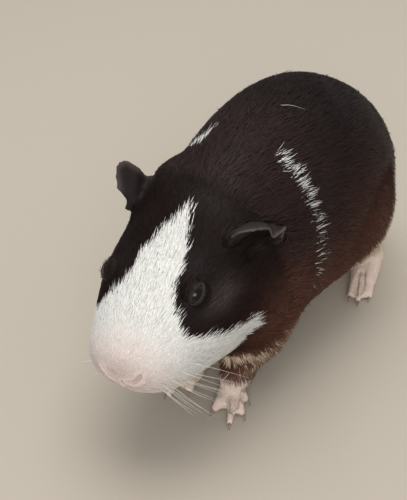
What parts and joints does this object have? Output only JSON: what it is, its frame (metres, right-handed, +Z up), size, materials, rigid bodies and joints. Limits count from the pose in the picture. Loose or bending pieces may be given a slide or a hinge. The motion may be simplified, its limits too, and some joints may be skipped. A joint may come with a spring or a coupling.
{
  "type": "guinea pig",
  "caption": "Life-size still model of a standing guinea pig with a short smooth dark coat, a white blaze and muzzle, petal ears and bare feet that rest flat.",
  "frame": {"origin": "on the floor, under the middle of the animal's bounding box", "axes": "+Z up, the animal looks along -Y, and its left side is towards +X"},
  "size_m": [0.0874, 0.188, 0.1001],
  "materials": {
    "coat": "short smooth fur with a soft sheen, near-black brown with white on the face and shoulder",
    "foot_skin": "thinly haired skin, pinkish grey",
    "ear_skin": "bare thin skin, dark grey, satin",
    "eye": "wet gloss, dark brown",
    "claw": "horn, satin"
  },
  "bodies": {
    "root": {"head": "coat", "neck": "coat", "trunk": "coat", "foreleg_left": "coat", "foreleg_right": "coat", "hindleg_left": "coat", "hindleg_right": "coat", "forefoot_left": "foot_skin", "forefoot_right": "foot_skin", "hindfoot_left": "foot_skin", "hindfoot_right": "foot_skin", "ear_left": "ear_skin", "ear_right": "ear_skin", "eye_left": "eye", "eye_right": "eye", "claw_fore_left_1": "claw", "claw_fore_left_2": "claw", "claw_fore_left_3": "claw", "claw_fore_left_4": "claw", "claw_fore_right_1": "claw", "claw_fore_right_2": "claw", "claw_fore_right_3": "claw", "claw_fore_right_4": "claw", "claw_hind_left_1": "claw", "claw_hind_left_2": "claw", "claw_hind_left_3": "claw", "claw_hind_right_1": "claw", "claw_hind_right_2": "claw", "claw_hind_right_3": "claw"}
  },
  "joints": []
}
